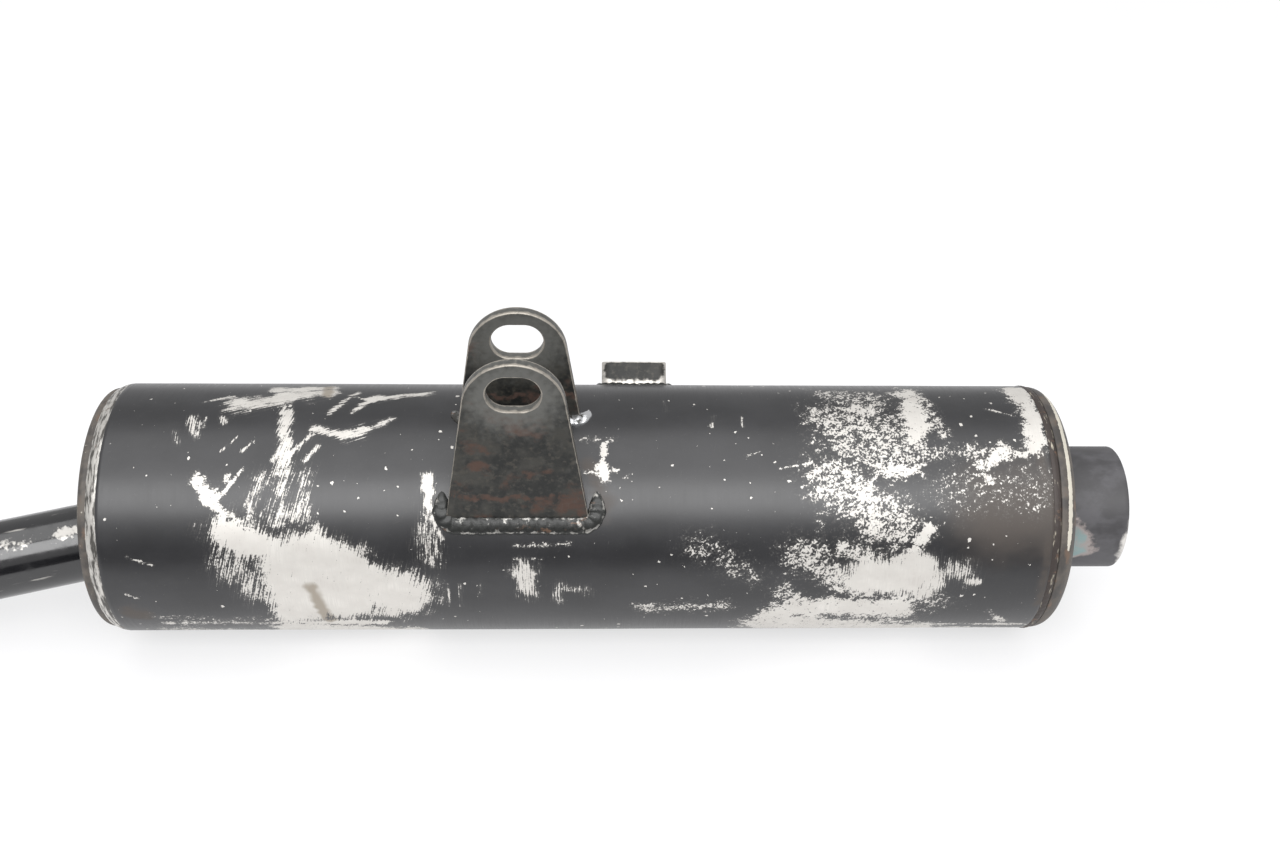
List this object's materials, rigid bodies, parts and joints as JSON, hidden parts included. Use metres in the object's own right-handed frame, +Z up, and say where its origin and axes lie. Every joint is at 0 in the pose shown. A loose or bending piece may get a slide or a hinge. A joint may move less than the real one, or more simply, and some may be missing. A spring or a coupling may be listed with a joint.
{
  "type": "exhaust muffler",
  "caption": "Round welded motorcycle exhaust muffler: black steel can, bent inlet pipe, straight outlet stub, upright slotted bracket ears and a small stop lug.",
  "frame": {"origin": "under the middle of the whole length, at the can's lowest line", "axes": "+X along the can's axis towards the outlet, +Z up along the bracket ears, +Y towards the side with the stop lug"},
  "size_m": [0.5328, 0.1016, 0.1498],
  "materials": {
    "shell_paint": "worn matte black paint, bare steel patches",
    "cap_paint": "worn satin black paint",
    "pipe_paint": "semi-gloss black paint with scuffs",
    "ear_steel": "thin black paint with rust",
    "weld_bead": "dull weld bead, partly painted",
    "inner_steel": "plain mild steel"
  },
  "bodies": {
    "root": {"shell": "shell_paint", "front_end_cap": "cap_paint", "rear_end_cap": "cap_paint", "front_seam_weld": "weld_bead", "rear_seam_weld": "weld_bead", "inlet_pipe": "pipe_paint", "inlet_weld": "weld_bead", "outlet_tube": "pipe_paint", "outlet_weld": "weld_bead", "bracket_ear_outer": "ear_steel", "bracket_ear_inner": "ear_steel", "ear_weld_outer": "weld_bead", "ear_weld_inner": "weld_bead", "stop_lug": "ear_steel", "lug_weld": "weld_bead", "front_baffle": "inner_steel", "middle_baffle": "inner_steel", "rear_baffle": "inner_steel", "core_tube": "inner_steel", "core_plug": "inner_steel", "transfer_tube_near": "inner_steel", "transfer_tube_far": "inner_steel"}
  },
  "joints": []
}
